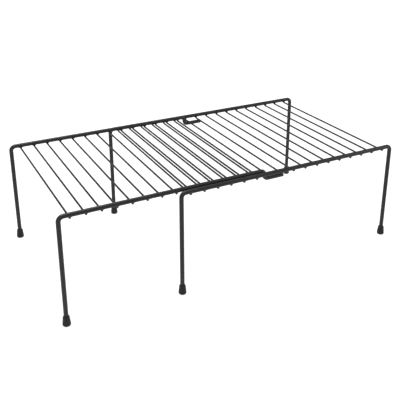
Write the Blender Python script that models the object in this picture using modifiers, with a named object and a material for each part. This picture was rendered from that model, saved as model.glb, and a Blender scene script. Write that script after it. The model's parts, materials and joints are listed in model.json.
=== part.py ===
"""Expandable cabinet shelf: two bent-wire tables, one hooked through the other.

All lengths are in metres, +Z is up, the shelf stands on Z = 0 and its longer
side runs along X.  The base table stays put.  The extension table stands to
its left, its rails lie just inside the base's rails, and the lowered ends of
those rails pass under two of the base's cross wires.
"""
import math

import bpy

# Wire sections
rail_diameter = 0.0060
cross_diameter = 0.0026

# Base table, measured between wire axes
wire_pitch = 0.020
base_wire_count = 17
extension_wire_count = 14
base_end_margin = 0.0138
extension_end_margin = 0.0145
base_depth = 0.2592
rail_height = 0.1490
extension_rise = 0.0023
wire_end_reach = 0.0003
base_corner_radius = 0.0064
extension_corner_radius = 0.0066

# Hooked end of each extension rail
hook_drop = 0.0116
hook_upper_radius = 0.0060
hook_lower_radius = 0.0050
hook_setback = 0.0124
hook_reach = 0.0302
hooked_wire_number = 11

# Clearances
weld_gap = 0.0003
side_gap = 0.0003
stop_gap = 0.0005
wire_end_chamfer = 0.0003
rail_end_chamfer = 0.0006

# Foot cap
cap_height = 0.0134
cap_base_diameter = 0.0109
cap_top_diameter = 0.0088
cap_floor = 0.0026
cap_bore_gap = 0.0003
cap_edge_radius = 0.0024
cap_rim_width = 0.00015
cap_shoulder_height = 0.0012

# Facets
corner_steps = 10
hook_steps = 6
rail_resolution = 6
cross_resolution = 4
cap_sides = 28
cap_arc_steps = 4
merge_distance = 0.00001

coat_colour = (0.012, 0.012, 0.013, 1.0)
coat_roughness = 0.42
cap_colour = (0.026, 0.026, 0.027, 1.0)
cap_roughness = 0.72

# Sizes that follow from the ones above
rail_radius = rail_diameter / 2
cross_radius = cross_diameter / 2
base_length = 2 * base_end_margin + (base_wire_count - 1) * wire_pitch
base_rail_y = base_depth / 2
base_wire_z = rail_height - rail_radius - weld_gap - cross_radius
extension_wire_z = base_wire_z + extension_rise
extension_rail_z = rail_height + extension_rise
extension_rail_y = base_rail_y - rail_diameter - side_gap
extension_wire_run = (extension_wire_count - 1) * wire_pitch
stub_offset = extension_end_margin + extension_wire_run + hook_setback
hooked_wire_x = base_end_margin + (base_wire_count - hooked_wire_number) * wire_pitch
stub_x = hooked_wire_x - cross_radius - stop_gap - rail_radius
extension_leg_x = stub_x - stub_offset
pivot_x = stub_x - hook_setback
middle_x = (extension_leg_x + base_length) / 2
leg_foot_z = cap_floor + cap_bore_gap


def clear_scene():
    for obj in list(bpy.data.objects):
        bpy.data.objects.remove(obj, do_unlink=True)
    for collection in list(bpy.data.collections):
        bpy.data.collections.remove(collection)


def finish(name, colour, roughness):
    material = bpy.data.materials.new(name + "_finish")
    material.use_nodes = True
    shader = material.node_tree.nodes["Principled BSDF"]
    shader.inputs["Base Color"].default_value = colour
    shader.inputs["Roughness"].default_value = roughness
    shader.inputs["Metallic"].default_value = 0.0
    return material


def rounded_path(corners, radii, steps):
    """Points of a wire in X and Z that is straight between corners and bent at each."""
    points = [corners[0]]
    for before, corner, after, radius, count in zip(corners, corners[1:], corners[2:], radii, steps):
        to_before = math.atan2(before[1] - corner[1], before[0] - corner[0])
        to_after = math.atan2(after[1] - corner[1], after[0] - corner[0])
        opening = (to_after - to_before + math.pi) % (2 * math.pi) - math.pi
        half = opening / 2
        reach = radius / math.sin(abs(half))
        centre_angle = to_before + half
        centre_x = corner[0] + reach * math.cos(centre_angle)
        centre_z = corner[1] + reach * math.sin(centre_angle)
        turn = math.pi - abs(opening)
        side = math.copysign(1, half)
        start = centre_angle + math.pi + side * turn / 2
        for i in range(count + 1):
            angle = start - side * turn * i / count
            points.append((centre_x + radius * math.cos(angle), centre_z + radius * math.sin(angle)))
    points.append(corners[-1])
    return points


def wire(name, points, diameter, resolution, chamfer, parent, collection, colour, roughness):
    """One length of round wire through 3-D points, with closed and chamfered ends."""
    data = bpy.data.curves.new(name, "CURVE")
    data.dimensions = "3D"
    data.bevel_depth = diameter / 2
    data.bevel_resolution = resolution
    data.use_fill_caps = True
    spline = data.splines.new("POLY")
    spline.points.add(len(points) - 1)
    for spot, point in zip(spline.points, points):
        spot.co = (*point, 1.0)
    spline.use_smooth = True
    data.materials.append(finish(name, colour, roughness))
    obj = bpy.data.objects.new(name, data)
    collection.objects.link(obj)
    obj.parent = parent
    weld = obj.modifiers.new("close_ends", "WELD")
    weld.merge_threshold = merge_distance
    edge = obj.modifiers.new("cut_edge", "BEVEL")
    edge.width = chamfer
    edge.segments = 1
    edge.limit_method = "ANGLE"
    edge.angle_limit = math.radians(60)
    return obj


def cap_profile():
    """Half section of a foot cap, from the bore's floor out, down the outside and back in."""
    bore = rail_radius + cap_bore_gap
    top = cap_top_diameter / 2
    wide = cap_base_diameter / 2
    points = [(0.0, cap_floor), (bore, cap_floor), (bore, cap_height)]
    rim = bore + cap_rim_width
    skirt_top = cap_height - cap_shoulder_height
    for i in range(cap_arc_steps + 1):
        angle = math.pi / 2 * (1 - i / cap_arc_steps)
        points.append((
            rim + (top - rim) * math.cos(angle),
            skirt_top + cap_shoulder_height * math.sin(angle),
        ))
    for i in range(cap_arc_steps + 1):
        angle = -math.pi / 2 * i / cap_arc_steps
        points.append((
            wide - cap_edge_radius + cap_edge_radius * math.cos(angle),
            cap_edge_radius + cap_edge_radius * math.sin(angle),
        ))
    points.append((0.0, 0.0))
    return points


def foot_cap(name, x, y, z, parent, collection):
    """Moulded cap that the end of a leg stands in."""
    profile = cap_profile()
    mesh = bpy.data.meshes.new(name)
    mesh.from_pydata([(r, 0.0, z) for r, z in profile], [(i, i + 1) for i in range(len(profile) - 1)], [])
    mesh.materials.append(finish(name, cap_colour, cap_roughness))
    obj = bpy.data.objects.new(name, mesh)
    collection.objects.link(obj)
    obj.parent = parent
    obj.location = (x, y, z)
    turn = obj.modifiers.new("turned", "SCREW")
    turn.axis = "Z"
    turn.angle = 2 * math.pi
    turn.screw_offset = 0.0
    turn.steps = cap_sides
    turn.render_steps = cap_sides
    turn.use_merge_vertices = True
    turn.merge_threshold = merge_distance
    turn.use_smooth_shade = True
    return obj


def frame_empty(name, x, z, parent, collection):
    empty = bpy.data.objects.new(name, None)
    empty.empty_display_size = wire_pitch
    empty.location = (x, 0.0, z)
    empty.parent = parent
    collection.objects.link(empty)
    return empty


def base_frame_points(y):
    """A leg, the rail and the other leg, bent from one wire."""
    corners = [
        (0.0, leg_foot_z),
        (0.0, rail_height),
        (base_length, rail_height),
        (base_length, leg_foot_z),
    ]
    radii = (base_corner_radius, base_corner_radius)
    flat = rounded_path(corners, radii, (corner_steps, corner_steps))
    return [(x, y, z) for x, z in flat]


def extension_frame_points(y):
    """A leg and a rail whose far end drops and runs on as the hook, bent from one wire.

    X and Z are counted from the pivot wire's axis.
    """
    leg_x = -extension_end_margin - extension_wire_run
    rail_z = extension_rail_z - extension_wire_z
    corners = [
        (leg_x, leg_foot_z - extension_wire_z),
        (leg_x, rail_z),
        (hook_setback, rail_z),
        (hook_setback, rail_z - hook_drop),
        (hook_setback + hook_reach, rail_z - hook_drop),
    ]
    radii = (extension_corner_radius, hook_upper_radius, hook_lower_radius)
    flat = rounded_path(corners, radii, (corner_steps, hook_steps, hook_steps))
    return [(x, y, z) for x, z in flat]


def cross_wires(prefix, numbers, right_x, half_length, z, parent, collection):
    """Straight wires from rail to rail, numbered from the right, where wire 1 is at right_x."""
    for number in numbers:
        x = right_x - (number - 1) * wire_pitch
        ends = [(x, -half_length, z), (x, half_length, z)]
        wire(f"{prefix}_cross_wire_{number:02d}", ends, cross_diameter, cross_resolution,
             wire_end_chamfer, parent, collection, coat_colour, coat_roughness)


def build_base(collection):
    root = frame_empty("base_origin", -middle_x, 0.0, None, collection)
    for side, y in (("front", -base_rail_y), ("back", base_rail_y)):
        wire(f"base_{side}_frame", base_frame_points(y), rail_diameter, rail_resolution,
             rail_end_chamfer, root, collection, coat_colour, coat_roughness)
        foot_cap(f"base_{side}_left_foot_cap", 0.0, y, 0.0, root, collection)
        foot_cap(f"base_{side}_right_foot_cap", base_length, y, 0.0, root, collection)
    half = base_rail_y + wire_end_reach
    numbers = range(1, base_wire_count + 1)
    cross_wires("base", numbers, base_length - base_end_margin, half, base_wire_z, root, collection)


def build_extension(collection):
    slide = frame_empty("extension_slide_axis", pivot_x - middle_x, extension_wire_z, None, collection)
    half = extension_rail_y + wire_end_reach
    cross_wires("extension", [1], 0.0, half, 0.0, slide, collection)
    tilt = frame_empty("extension_tilt_axis", 0.0, 0.0, slide, collection)
    for side, y in (("front", -extension_rail_y), ("back", extension_rail_y)):
        wire(f"extension_{side}_frame", extension_frame_points(y), rail_diameter, rail_resolution,
             rail_end_chamfer, tilt, collection, coat_colour, coat_roughness)
        foot_cap(f"extension_{side}_foot_cap", extension_leg_x - pivot_x, y, -extension_wire_z, tilt, collection)
    cross_wires("extension", range(2, extension_wire_count + 1), 0.0, half, 0.0, tilt, collection)


clear_scene()
shelf = bpy.data.collections.new("expandable_cabinet_shelf")
bpy.context.scene.collection.children.link(shelf)
build_base(shelf)
build_extension(shelf)
print("hook flat axis height", round(extension_rail_z - hook_drop, 5))
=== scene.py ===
import json
import math

import bmesh
import bpy
from mathutils import Matrix, Vector


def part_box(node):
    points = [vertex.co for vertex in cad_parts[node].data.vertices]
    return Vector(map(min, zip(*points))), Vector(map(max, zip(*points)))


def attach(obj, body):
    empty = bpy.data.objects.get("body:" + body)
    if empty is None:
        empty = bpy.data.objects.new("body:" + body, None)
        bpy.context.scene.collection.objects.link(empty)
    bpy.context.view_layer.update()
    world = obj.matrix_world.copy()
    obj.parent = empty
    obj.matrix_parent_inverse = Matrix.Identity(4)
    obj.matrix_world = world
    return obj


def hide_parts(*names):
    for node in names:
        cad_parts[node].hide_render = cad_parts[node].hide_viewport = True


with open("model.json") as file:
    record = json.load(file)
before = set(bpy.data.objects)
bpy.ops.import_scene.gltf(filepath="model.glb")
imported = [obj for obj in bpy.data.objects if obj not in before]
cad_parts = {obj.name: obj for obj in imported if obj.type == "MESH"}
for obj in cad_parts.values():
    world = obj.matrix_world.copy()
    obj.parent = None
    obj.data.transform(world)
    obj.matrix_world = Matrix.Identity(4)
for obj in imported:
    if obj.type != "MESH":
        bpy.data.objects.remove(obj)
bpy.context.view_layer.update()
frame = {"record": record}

bodyOf = {}
for body, members in frame["record"]["behaviour"]["bodies"].items():
    for member in members:
        bodyOf[member] = body
mm = 0.001
quarter = math.pi / 2
print("shelf loaded:", len(bodyOf), "nodes")


def addObject(name, data):
    made = bpy.data.objects.new(name, data)
    bpy.context.scene.collection.objects.link(made)
    return made


photoView = {
    "place": (-0.4186, -0.7994, 0.5148),       # metres from the middle of the footprint
    "turn": 0.4819,                            # to the right of straight ahead
    "dip": 0.3568,                             # below the horizon
    "sensor": 36.0, "lens": 58.55,
    "shift": -0.18,                            # brings the legs some way upright in the picture
    "nearest": 0.01, "farthest": 60.0,
}

camera = addObject("photoCamera", bpy.data.cameras.new("photoCamera"))
camera.location = photoView["place"]
camera.rotation_euler = (quarter - photoView["dip"], 0, -photoView["turn"])
camera.data.sensor_width = photoView["sensor"]
camera.data.lens = photoView["lens"]
camera.data.shift_y = photoView["shift"]
camera.data.clip_start = photoView["nearest"]
camera.data.clip_end = photoView["farthest"]
bpy.context.scene.camera = camera
print("camera placed")


def newGroup(name, dials, masks):
    group = bpy.data.node_groups.new(name, "ShaderNodeTree")
    group.interface.new_socket(name="Place", in_out="INPUT", socket_type="NodeSocketVector")
    for label in dials:
        group.interface.new_socket(name=label, in_out="INPUT", socket_type="NodeSocketFloat")
    for label in masks:
        group.interface.new_socket(name=label, in_out="OUTPUT", socket_type="NodeSocketFloat")
    return group, group.nodes.new("NodeGroupInput").outputs, group.nodes.new("NodeGroupOutput").inputs


def plug(tree, value, socket):
    if isinstance(value, (int, float)):
        socket.default_value = value
    else:
        tree.links.new(value, socket)


def addMath(tree, operation, first, second):
    node = tree.nodes.new("ShaderNodeMath")
    node.operation = operation
    plug(tree, first, node.inputs[0])
    plug(tree, second, node.inputs[1])
    return node.outputs[0]


def addNoise(tree, place, scale, detail, roughness):
    node = tree.nodes.new("ShaderNodeTexNoise")
    node.inputs["Detail"].default_value = detail
    node.inputs["Roughness"].default_value = roughness
    plug(tree, scale, node.inputs["Scale"])
    tree.links.new(place, node.inputs["Vector"])
    return node.outputs["Fac"]


def addRange(tree, value, low, high, toLow=0.0, toHigh=1.0):
    node = tree.nodes.new("ShaderNodeMapRange")
    node.inputs["From Min"].default_value = low
    node.inputs["From Max"].default_value = high
    node.inputs["To Min"].default_value = toLow
    node.inputs["To Max"].default_value = toHigh
    tree.links.new(value, node.inputs["Value"])
    return node.outputs["Result"]


# the scales of the fine grain, the clouds and the pits are shares of the peel's scale
grainPattern = {
    "peelDetail": 1.0, "fineDetail": 2.0, "cloudDetail": 3.0, "noiseRoughness": 0.55,
    "fineShare": 4.5, "cloudShare": 0.045, "pitShare": 0.8,
    "cloudEdges": (0.32, 0.68), "pitEdges": (0.04, 0.16), "pitSink": 0.25,
}


def makeCoatGrain():
    # orange peel of a baked coat, its finer grain, and a slow cloudiness along the piece
    group, given, put = newGroup("coatGrain", ["Peel", "Fine"], ["Cloud", "Pit", "Height"])
    place, peelScale = given["Place"], given["Peel"]
    roughness = grainPattern["noiseRoughness"]
    peel = addNoise(group, place, peelScale, grainPattern["peelDetail"], roughness)
    fineScale = addMath(group, "MULTIPLY", peelScale, grainPattern["fineShare"])
    fine = addNoise(group, place, fineScale, grainPattern["fineDetail"], roughness)
    fine = addMath(group, "MULTIPLY", fine, given["Fine"])
    cloudScale = addMath(group, "MULTIPLY", peelScale, grainPattern["cloudShare"])
    cloud = addNoise(group, place, cloudScale, grainPattern["cloudDetail"], roughness)
    cells = group.nodes.new("ShaderNodeTexVoronoi")
    plug(group, addMath(group, "MULTIPLY", peelScale, grainPattern["pitShare"]), cells.inputs["Scale"])
    plug(group, place, cells.inputs["Vector"])
    pit = addRange(group, cells.outputs["Distance"], *grainPattern["pitEdges"], 1.0, 0.0)
    height = addMath(group, "ADD", peel, fine)
    height = addMath(group, "SUBTRACT", height, addMath(group, "MULTIPLY", pit, grainPattern["pitSink"]))
    plug(group, addRange(group, cloud, *grainPattern["cloudEdges"]), put["Cloud"])
    plug(group, pit, put["Pit"])
    plug(group, height, put["Height"])
    return group


dustPattern = {
    "detail": 5.0, "noiseRoughness": 0.55,
    "facing": (0.3, 1.0), "patchEdges": (0.42, 0.78),
    "dulling": 0.6,                            # roughness that full dust adds
}


def makeSettledDust():
    # a trace of lint on what faces up, broken into patches
    group, given, put = newGroup("settledDust", ["Patch"], ["Dust"])
    facing = group.nodes.new("ShaderNodeNewGeometry")
    split = group.nodes.new("ShaderNodeSeparateXYZ")
    plug(group, facing.outputs["Normal"], split.inputs[0])
    upward = addRange(group, split.outputs["Z"], *dustPattern["facing"])
    detail, roughness = dustPattern["detail"], dustPattern["noiseRoughness"]
    patch = addNoise(group, given["Place"], given["Patch"], detail, roughness)
    patch = addRange(group, patch, *dustPattern["patchEdges"])
    plug(group, addMath(group, "MULTIPLY", upward, patch), put["Dust"])
    return group


coatGrain = makeCoatGrain()
settledDust = makeSettledDust()


def addGroup(tree, group, place, **dials):
    node = tree.nodes.new("ShaderNodeGroup")
    node.node_tree = group
    plug(tree, place, node.inputs["Place"])
    for label, value in dials.items():
        node.inputs[label].default_value = value
    return node.outputs


def mixColour(tree, factor, first, second):
    node = tree.nodes.new("ShaderNodeMix")
    node.data_type = "RGBA"
    plug(tree, factor, node.inputs["Factor"])
    for socket, colour in ((node.inputs["A"], first), (node.inputs["B"], second)):
        if isinstance(colour, tuple):
            socket.default_value = (*colour, 1.0)
        else:
            tree.links.new(colour, socket)
    return node.outputs["Result"]


def makeFinish(look):
    material = bpy.data.materials.new(look["name"])
    material.use_nodes = True
    tree = material.node_tree
    shader = tree.nodes["Principled BSDF"]
    place = tree.nodes.new("ShaderNodeTexCoord").outputs["Object"]
    grain = addGroup(tree, coatGrain, place, Peel=look["peel"], Fine=look["fine"])
    dust = addGroup(tree, settledDust, place, Patch=look["dustPatch"])
    # painted shade: the coat's pits, which the bump also sinks, are darkened in colour towards their own dark
    # tone
    pitShadeCover = addMath(tree, "MULTIPLY", grain["Pit"], look["pitShadeShare"])
    dustCover = addMath(tree, "MULTIPLY", dust["Dust"], look["dust"])
    colour = mixColour(tree, grain["Cloud"], look["dark"], look["light"])
    colour = mixColour(tree, pitShadeCover, colour, look["pitShadeTone"])
    colour = mixColour(tree, dustCover, colour, look["dustTone"])
    plug(tree, colour, shader.inputs["Base Color"])
    rough = addRange(tree, grain["Cloud"], 0.0, 1.0, *look["rough"])
    rough = addMath(tree, "ADD", rough, addMath(tree, "MULTIPLY", dustCover, dustPattern["dulling"]))
    plug(tree, rough, shader.inputs["Roughness"])
    shader.inputs["Specular IOR Level"].default_value = look["gloss"]
    bump = tree.nodes.new("ShaderNodeBump")
    bump.inputs["Strength"].default_value = look["relief"]
    bump.inputs["Distance"].default_value = look["reliefDepth"]
    plug(tree, grain["Height"], bump.inputs["Height"])
    plug(tree, bump.outputs["Normal"], shader.inputs["Normal"])
    return material


# in each look, the pits' dark tone and how far it goes are painted shade in the pits
powderCoat = makeFinish({
    "name": "blackPowderCoat",
    "dark": (0.0152, 0.0152, 0.0160), "light": (0.0230, 0.0227, 0.0236),
    "pitShadeTone": (0.004, 0.004, 0.004), "pitShadeShare": 0.5,
    "dustTone": (0.10, 0.098, 0.094), "dust": 0.10, "dustPatch": 140.0,
    "rough": (0.33, 0.43), "gloss": 0.57,
    "peel": 950.0, "fine": 0.35, "relief": 0.32, "reliefDepth": 0.0003,
})
# the rails' black coat on the weld saddles, its colours darkened to about two thirds as painted shade under
# the rail
weldCoatPaintedShade = makeFinish({
    "name": "blackCoatOverWeldsPaintedShade",
    "dark": (0.0096, 0.0096, 0.0101), "light": (0.0150, 0.0148, 0.0154),
    "pitShadeTone": (0.003, 0.003, 0.003), "pitShadeShare": 0.8,
    "dustTone": (0.10, 0.098, 0.094), "dust": 0.12, "dustPatch": 220.0,
    "rough": (0.40, 0.54), "gloss": 0.42,
    "peel": 1400.0, "fine": 0.5, "relief": 0.5, "reliefDepth": 0.0003,
})
capPlastic = makeFinish({
    "name": "blackMouldedCap",
    "dark": (0.0185, 0.0185, 0.0191), "light": (0.0262, 0.0260, 0.0266),
    "pitShadeTone": (0.007, 0.007, 0.007), "pitShadeShare": 0.35,
    "dustTone": (0.12, 0.117, 0.112), "dust": 0.25, "dustPatch": 300.0,
    "rough": (0.50, 0.62), "gloss": 0.45,
    "peel": 2600.0, "fine": 0.6, "relief": 0.25, "reliefDepth": 0.00015,
})
print("finishes made")


sharpAngle = math.radians(50)
touching = 0.01 * mm                           # closer than this counts as one place
roundProfile = 0.5


def placePiece(name, bm, finish, body, stands=()):
    bmesh.ops.remove_doubles(bm, verts=bm.verts, dist=touching)
    bmesh.ops.recalc_face_normals(bm, faces=bm.faces)
    mesh = bpy.data.meshes.new(name)
    bm.to_mesh(mesh)
    bm.free()
    mesh.shade_smooth()
    mesh.set_sharp_from_angle(angle=sharpAngle)
    mesh.materials.append(finish)
    piece = addObject(name, mesh)
    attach(piece, body)
    if stands:
        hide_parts(*stands)


def parts(result, kind, key="geom"):
    return [item for item in result[key] if isinstance(item, kind)]


def edgesAmong(edges, verts):
    return [edge for edge in edges if edge.verts[0] in verts and edge.verts[1] in verts]


def roundEdges(bm, edges, size, steps):
    bmesh.ops.bevel(bm, geom=edges, offset=size, offset_type="OFFSET", segments=steps, profile=roundProfile,
                    affect="EDGES", clamp_overlap=True, material=-1)


def layWire(bm, start, heading, moves, wire):
    # a ring pushed along straight runs and swung round bends, then closed and rounded at both ends;
    # a move is the length of a run, or the radius, axis and steps of a quarter bend
    tip, heading = Vector(start), Vector(heading)
    stance = Matrix.Translation(tip) @ heading.to_track_quat("Z", "Y").to_matrix().to_4x4()
    circle = bmesh.ops.create_circle(bm, segments=wire["sides"], radius=wire["radius"], matrix=stance)
    ring = circle["verts"]
    firstRing = list(ring)
    rim = edgesAmong(bm.edges, ring)
    for move in moves:
        if len(move) == 1:
            step = heading * move[0]
            pushed = bmesh.ops.extrude_edge_only(bm, edges=rim)
            ring = parts(pushed, bmesh.types.BMVert)
            rim = edgesAmong(parts(pushed, bmesh.types.BMEdge), ring)
            bmesh.ops.translate(bm, verts=ring, vec=step)
            tip += step
        else:
            bend, axis, steps = move
            axis = Vector(axis)
            centre = tip + axis.cross(heading) * bend
            swung = bmesh.ops.spin(bm, geom=ring + rim, cent=centre, axis=axis, angle=quarter, steps=steps,
                                   use_merge=False)
            ring = parts(swung, bmesh.types.BMVert, "geom_last")
            rim = parts(swung, bmesh.types.BMEdge, "geom_last")
            swing = Matrix.Rotation(quarter, 3, axis)
            tip = centre + swing @ (tip - centre)
            heading = swing @ heading
    for end in (ring, firstRing):
        outline = edgesAmong(bm.edges, end)
        bmesh.ops.contextual_create(bm, geom=outline)
        roundEdges(bm, outline, wire["endRound"], wire["endSteps"])


def placeWire(node, start, heading, moves, wire):
    bm = bmesh.new()
    layWire(bm, start, heading, moves, wire)
    placePiece(f"{node}_wire", bm, powderCoat, bodyOf[node], [node])


# each frame is one wire bent in one plane
railWire = {
    "radius": 3.0 * mm, "sides": 32, "endRound": 0.7 * mm, "endSteps": 3,
    "baseBend": 6.4 * mm, "extensionBend": 6.6 * mm, "cornerSteps": 16,
    "hookDrop": 11.6 * mm, "upperBend": 6.0 * mm, "lowerBend": 5.0 * mm, "hookSteps": 12,
    "hookFlat": 30.2 * mm,                     # from the drop's middle to the cut end
}
up, across, back = (0.0, 0.0, 1.0), (0.0, 1.0, 0.0), (0.0, -1.0, 0.0)
radius, cornerSteps, hookSteps = railWire["radius"], railWire["cornerSteps"], railWire["hookSteps"]

for side in ("front", "back"):
    node = f"base_{side}_frame"
    low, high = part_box(node)
    bend = railWire["baseBend"]
    left, right = low.x + radius, high.x - radius
    y, rail = (low.y + high.y) / 2, high.z - radius
    leg, corner = (rail - bend - low.z,), (bend, across, cornerSteps)
    moves = [leg, corner, (right - left - 2 * bend,), corner, leg]
    placeWire(node, (left, y, low.z), up, moves, railWire)

    node = f"extension_{side}_frame"
    low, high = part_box(node)
    bend, upper, lower = railWire["extensionBend"], railWire["upperBend"], railWire["lowerBend"]
    left, drop = low.x + radius, high.x - railWire["hookFlat"]
    y, rail = (low.y + high.y) / 2, high.z - radius
    moves = [
        (rail - bend - low.z,),
        (bend, across, cornerSteps),
        (drop - left - bend - upper,),
        (upper, across, hookSteps),
        (railWire["hookDrop"] - upper - lower,),
        (lower, back, hookSteps),
        (high.x - drop - lower,),
    ]
    placeWire(node, (left, y, low.z), up, moves, railWire)
print("frames bent")


crossWire = {"radius": 1.3 * mm, "sides": 20, "endRound": 0.6 * mm, "endSteps": 3}

for node in sorted(bodyOf):
    if "cross_wire" in node:
        low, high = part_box(node)
        middle = (low + high) / 2
        placeWire(node, (middle.x, low.y, middle.z), across, [(high.y - low.y,)], crossWire)
print("cross wires laid")


# a saddle of weld metal and coat between a rail and each wire under it
weldSaddle = {
    # from the wire up into the rail, in mm: half-widths along the rail and along the wire, and height
    # from the middle of the joint
    "rings": [
        (1.20, 0.95, -1.15), (1.90, 1.10, -0.80), (2.40, 1.28, -0.35),
        (2.80, 1.40, 0.05), (3.20, 1.45, 0.42), (3.60, 1.20, 1.20),
    ],
    "sides": 24, "gap": 0.3 * mm,
    "inward": 0.35 * mm,                       # from under the rail's axis towards the shelf's middle
}


def addSaddle(bm, x, y, z):
    rings = weldSaddle["rings"]
    alongRail, alongWire, height = rings[0]
    shape = Matrix.Translation((x, y, z + height * mm)) @ Matrix.Diagonal((alongRail, alongWire, 1, 1))
    circle = bmesh.ops.create_circle(bm, cap_ends=True, segments=weldSaddle["sides"], radius=mm, matrix=shape)
    ring = circle["verts"]
    for last, (alongRail, alongWire, height) in zip(rings, rings[1:]):
        pushed = bmesh.ops.extrude_edge_only(bm, edges=edgesAmong(bm.edges, ring))
        ring = parts(pushed, bmesh.types.BMVert)
        centre = Matrix.Translation((-x, -y, -z - last[2] * mm))
        bmesh.ops.scale(bm, verts=ring, vec=(alongRail / last[0], alongWire / last[1], 1), space=centre)
        bmesh.ops.translate(bm, verts=ring, vec=(0, 0, (height - last[2]) * mm))
    bmesh.ops.contextual_create(bm, geom=edgesAmong(bm.edges, ring))


for section in ("base", "extension"):
    for side in ("front", "back"):
        low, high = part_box(f"{section}_{side}_frame")
        y = (low.y + high.y) / 2
        y -= math.copysign(weldSaddle["inward"], y)
        bm = bmesh.new()
        for node in sorted(bodyOf):
            if node.startswith(f"{section}_cross_wire"):
                low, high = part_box(node)
                addSaddle(bm, (low.x + high.x) / 2, y, high.z + weldSaddle["gap"] / 2)
        placePiece(f"{section}_{side}_welds", bm, weldCoatPaintedShade, section)
print("welds added")


# foot, waist, mouth and bore are radii
footCap = {
    "sides": 64, "height": 13.4 * mm, "foot": 5.64 * mm, "waist": 4.4 * mm, "mouth": 3.35 * mm,
    "bore": 3.03 * mm, "floor": 2.6 * mm,
    "soleRound": 2.4 * mm, "soleSteps": 8, "shoulder": 1.2 * mm, "shoulderSteps": 6,
    "seamHalf": 0.16 * mm, "seamProud": 0.04 * mm,
    "seamFromShare": 0.5,                      # of the sole's rounding, where the parting line starts
    "cutSlack": 0.001 * mm, "lineSlack": 0.005 * mm, "levelShare": 0.99,
}


def capFace(bm, height):
    found = []
    for face in bm.faces:
        level = abs(face.normal.z) > footCap["levelShare"]
        if level and abs(face.calc_center_median().z - height) < touching:
            found.append(face)
    return max(found, key=lambda face: face.calc_area())


def addCap(bm):
    # a cone with its shoulder drawn in, its sole rounded and its mouth bored, at the origin
    cap = footCap
    top, width = cap["height"] - cap["shoulder"], cap["waist"]
    bmesh.ops.create_cone(bm, cap_ends=True, segments=cap["sides"], radius1=cap["foot"], radius2=width,
                          depth=top, matrix=Matrix.Translation((0, 0, top / 2)))
    for i in range(1, cap["shoulderSteps"] + 1):
        rise = quarter * i / cap["shoulderSteps"]
        height = cap["height"] - cap["shoulder"] * (1 - math.sin(rise))
        target = cap["mouth"] + (cap["waist"] - cap["mouth"]) * math.cos(rise)
        pushed = bmesh.ops.extrude_discrete_faces(bm, faces=[capFace(bm, top)])["faces"]
        verts = list(pushed[0].verts)
        bmesh.ops.scale(bm, verts=verts, vec=(target / width, target / width, 1))
        bmesh.ops.translate(bm, verts=verts, vec=(0, 0, height - top))
        bm.normal_update()
        top, width = height, target
    roundEdges(bm, list(capFace(bm, 0.0).edges), cap["soleRound"], cap["soleSteps"])
    bm.normal_update()
    mouth = capFace(bm, top)
    bmesh.ops.inset_region(bm, faces=[mouth], thickness=cap["mouth"] - cap["bore"])
    bore = bmesh.ops.extrude_discrete_faces(bm, faces=[mouth])["faces"][0]
    bmesh.ops.translate(bm, verts=list(bore.verts), vec=(0, 0, cap["floor"] - top))
    bm.normal_update()
    # the mould's parting line, a low ridge up both sides
    for offset in (-cap["seamHalf"], 0.0, cap["seamHalf"]):
        everything = bm.verts[:] + bm.edges[:] + bm.faces[:]
        bmesh.ops.bisect_plane(bm, geom=everything, dist=cap["cutSlack"], plane_co=(offset, 0, 0),
                               plane_no=(1, 0, 0))
    seamFoot = cap["soleRound"] * cap["seamFromShare"]
    for vert in bm.verts:
        x, y, z = vert.co
        if abs(x) < cap["lineSlack"] and abs(y) > cap["mouth"] and z > seamFoot:
            vert.co.y += math.copysign(cap["seamProud"], y)


for node in sorted(bodyOf):
    if node.endswith("foot_cap"):
        low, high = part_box(node)
        bm = bmesh.new()
        addCap(bm)
        bmesh.ops.translate(bm, verts=bm.verts, vec=((low.x + high.x) / 2, (low.y + high.y) / 2, low.z))
        placePiece(f"{node}_moulding", bm, capPlastic, bodyOf[node], [node])
print("caps moulded")


studio = {
    "floorHalf": 15.0, "floorCells": 2, "floorDrop": 0.2 * mm,
    "floorTone": (0.5, 0.5, 0.5), "paperRough": 0.9, "paperGloss": 0.1,
    # the floor's own glow, which lights nothing, its distances from the shelf in metres, and the
    # share of it that shows in the coat's gloss
    "nearGlow": 0.8, "farGlow": 1.0, "nearEnd": 0.9, "farStart": 3.0, "glossShare": 0.33,
    "sky": 0.28,
    "aim": (0.0, 0.0, 0.1),
}
white = (1, 1, 1, 1)

bm = bmesh.new()
cells = studio["floorCells"]
bmesh.ops.create_grid(bm, x_segments=cells, y_segments=cells, size=studio["floorHalf"])
bmesh.ops.translate(bm, verts=bm.verts, vec=(0, 0, -studio["floorDrop"]))
floorMesh = bpy.data.meshes.new("studioFloor")
bm.to_mesh(floorMesh)
bm.free()
floor = addObject("studioFloor", floorMesh)

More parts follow.
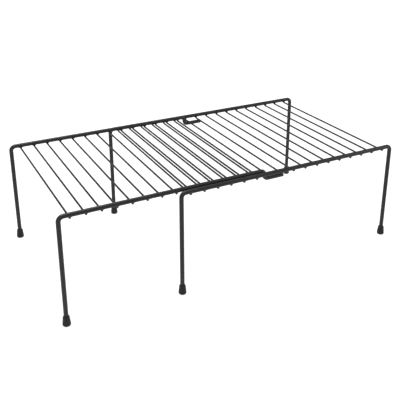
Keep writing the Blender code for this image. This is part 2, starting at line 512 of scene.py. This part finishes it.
paper = bpy.data.materials.new("whitePaper")
paper.use_nodes = True
tree = paper.node_tree
shader = tree.nodes["Principled BSDF"]
shader.inputs["Roughness"].default_value = studio["paperRough"]
shader.inputs["Specular IOR Level"].default_value = studio["paperGloss"]
shader.inputs["Base Color"].default_value = (*studio["floorTone"], 1.0)
shader.inputs["Emission Color"].default_value = white
away = tree.nodes.new("ShaderNodeVectorMath")
away.operation = "LENGTH"
plug(tree, tree.nodes.new("ShaderNodeTexCoord").outputs["Object"], away.inputs[0])
glow = addRange(tree, away.outputs["Value"], studio["nearEnd"], studio["farStart"],
                studio["nearGlow"], studio["farGlow"])
rays = tree.nodes.new("ShaderNodeLightPath").outputs
glossy = addMath(tree, "MULTIPLY", rays["Is Glossy Ray"], studio["glossShare"])
seen = addMath(tree, "MAXIMUM", rays["Is Camera Ray"], glossy)
plug(tree, addMath(tree, "MULTIPLY", seen, glow), shader.inputs["Emission Strength"])
floorMesh.materials.append(paper)

world = bpy.data.worlds.new("studioWorld")
bpy.context.scene.world = world
world.use_nodes = True
tree = world.node_tree
sky = tree.nodes["Background"].inputs
sky["Color"].default_value = white
rays = tree.nodes.new("ShaderNodeLightPath").outputs
plug(tree, addRange(tree, rays["Is Camera Ray"], 0.0, 1.0, studio["sky"], 1.0), sky["Strength"])

softboxes = [
    {"name": "overheadBox", "place": (-0.3, 0.3, 1.9), "size": (1.6, 1.1), "power": 25.0},
    {"name": "leftBox", "place": (-1.7, -1.2, 1.2), "size": (1.0, 1.4), "power": 4.0},
    {"name": "rightFill", "place": (1.8, -0.9, 0.9), "size": (1.2, 1.2), "power": 8.0},
]
for box in softboxes:
    lamp = bpy.data.lights.new(box["name"], "AREA")
    lamp.shape = "RECTANGLE"
    lamp.size, lamp.size_y = box["size"]
    lamp.energy = box["power"]
    hung = addObject(box["name"], lamp)
    hung.location = box["place"]
    beam = Vector(studio["aim"]) - Vector(box["place"])
    hung.rotation_euler = beam.to_track_quat("-Z", "Y").to_euler()
bpy.context.scene.view_settings.view_transform = "Standard"
print("studio lit")
